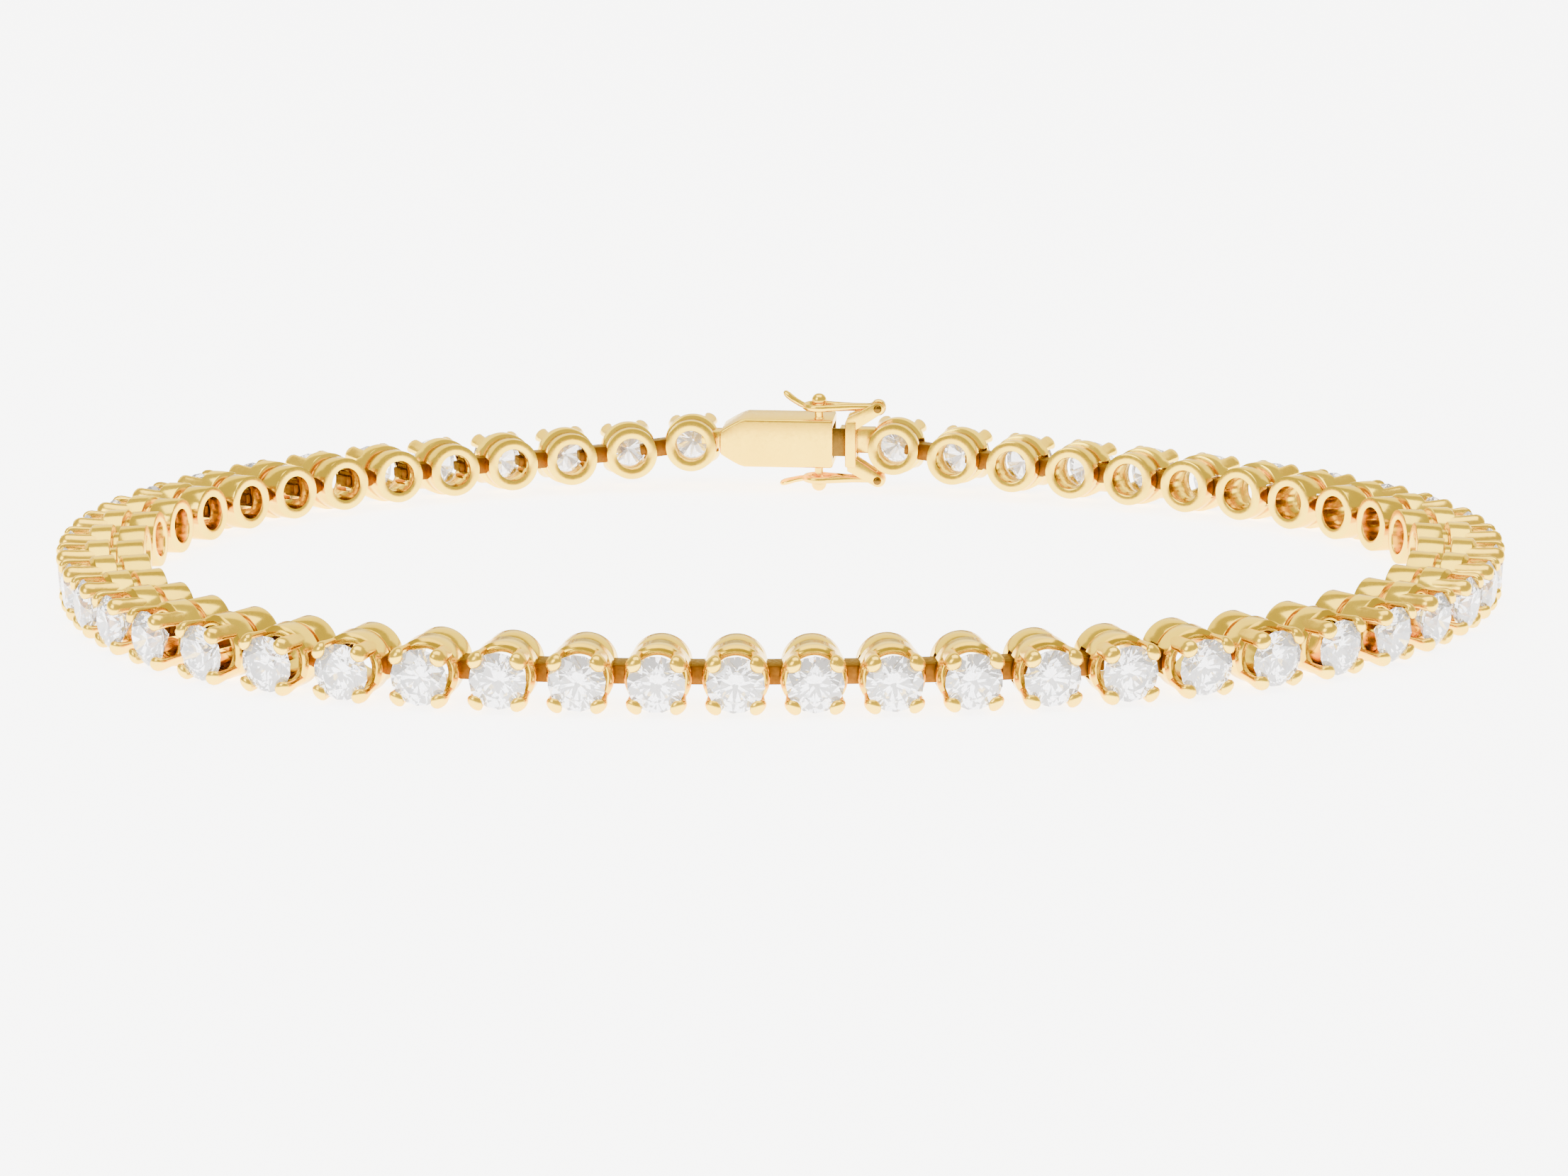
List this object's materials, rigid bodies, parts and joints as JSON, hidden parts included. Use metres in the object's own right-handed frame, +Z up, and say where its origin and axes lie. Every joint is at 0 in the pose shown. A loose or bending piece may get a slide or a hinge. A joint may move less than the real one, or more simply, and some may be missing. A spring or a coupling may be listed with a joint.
{
  "type": "tennis bracelet",
  "caption": "Tennis bracelet: a closed row of round white stones in yellow gold tube settings with claws, a box clasp and two hinged figure-eight safety catches",
  "frame": {"origin": "middle of the bracelet seen from above, on the surface that it stands on", "axes": "+X to the right along the front of the loop, +Y from the front to the clasp at the back, +Z up"},
  "size_m": [0.07, 0.0524, 0.0054],
  "materials": {
    "gold": "polished yellow gold",
    "clasp_gold": "polished yellow gold",
    "catch_gold": "polished yellow gold",
    "stone": "faceted clear stone"
  },
  "bodies": {
    "root": {"chain_left": "gold", "chain_right": "gold", "clasp_box": "clasp_gold", "clasp_tongue": "clasp_gold"},
    "upper_catch": {"upper_catch": "catch_gold"},
    "lower_catch": {"lower_catch": "catch_gold"}
  },
  "joints": [
    {"name": "upper_catch_hinge", "type": "hinge", "parent": "root", "child": "upper_catch", "pos_m": [0.00529, 0.02189, 0.00461], "axis": [0.0967, 0.9953, 0], "range_deg": [0, 110]},
    {"name": "lower_catch_hinge", "type": "hinge", "parent": "root", "child": "lower_catch", "pos_m": [0.00529, 0.02189, 0.00071], "axis": [-0.0967, -0.9953, 0], "range_deg": [0, 110]}
  ]
}
